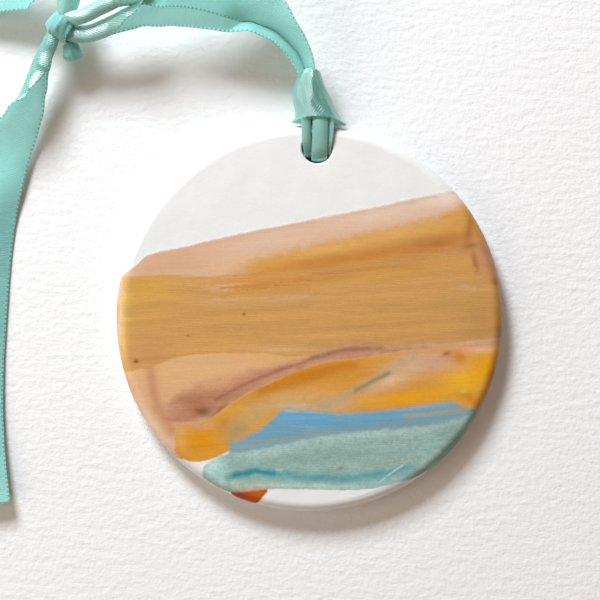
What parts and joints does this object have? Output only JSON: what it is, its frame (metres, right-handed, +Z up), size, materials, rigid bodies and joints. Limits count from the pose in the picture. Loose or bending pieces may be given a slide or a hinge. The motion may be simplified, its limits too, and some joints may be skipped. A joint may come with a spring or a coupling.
{
  "type": "christmas ornament",
  "caption": "Round painted clay ornament lying face up, hung from a knotted satin ribbon loop hitched through its rim hole, with two loose tails",
  "frame": {"origin": "centre of the disc's flat back face, which lies on the ground", "axes": "+Z up through the painted face, +Y from the disc's centre to its hanging hole, +X to the right"},
  "size_m": [0.1514, 0.1119, 0.0082],
  "materials": {
    "clay": "fired clay, satin matte",
    "blush_wash": "brushed underglaze coat, satin matte",
    "peach_wash": "brushed underglaze coat, satin matte",
    "amber_wash": "brushed underglaze coat, satin matte",
    "gold_stroke": "brushed underglaze coat, satin matte",
    "mauve_streak": "brushed underglaze coat, satin matte",
    "orange_sweep": "brushed underglaze coat, satin matte",
    "blue_stroke": "brushed underglaze coat, satin matte",
    "sea_stroke": "brushed underglaze coat, satin matte",
    "rust_chip": "brushed underglaze coat, satin matte",
    "satin": "woven polyester satin ribbon"
  },
  "bodies": {
    "ornament": {"disc": "clay", "blush_wash": "blush_wash", "peach_wash": "peach_wash", "amber_wash": "amber_wash", "gold_stroke": "gold_stroke", "mauve_streak": "mauve_streak", "orange_sweep": "orange_sweep", "blue_stroke": "blue_stroke", "sea_stroke": "sea_stroke", "rust_chip": "rust_chip"},
    "hitch": {"hitch_collar": "satin", "hitch_back_left": "satin", "hitch_back_right": "satin", "hitch_leg_left": "satin", "hitch_leg_right": "satin"},
    "hanger": {"loop_throat": "satin", "strand_inner": "satin", "strand_outer": "satin", "knot_wrap": "satin", "knot_bight": "satin"},
    "left_tail": {"tail_left": "satin"},
    "upper_tail": {"tail_upper": "satin"}
  },
  "joints": [
    {"name": "hitch_swing", "type": "hinge", "parent": "ornament", "child": "hitch", "pos_m": [0, 0.0372, 0.0025], "axis": [1, 0, 0], "range_deg": [-35, 40]},
    {"name": "loop_sway", "type": "hinge", "parent": "hitch", "child": "hanger", "pos_m": [-0.0021, 0.0486, 0.005], "axis": [0, 0, 1], "range_deg": [-25, 18]},
    {"name": "left_tail_sway", "type": "hinge", "parent": "hanger", "child": "left_tail", "pos_m": [-0.054, 0.052, 0.0045], "axis": [0, 0, 1], "range_deg": [-40, 4]},
    {"name": "upper_tail_sway", "type": "hinge", "parent": "hanger", "child": "upper_tail", "pos_m": [-0.0514, 0.059, 0.0055], "axis": [0, 0, 1], "range_deg": [-20, 5]}
  ]
}
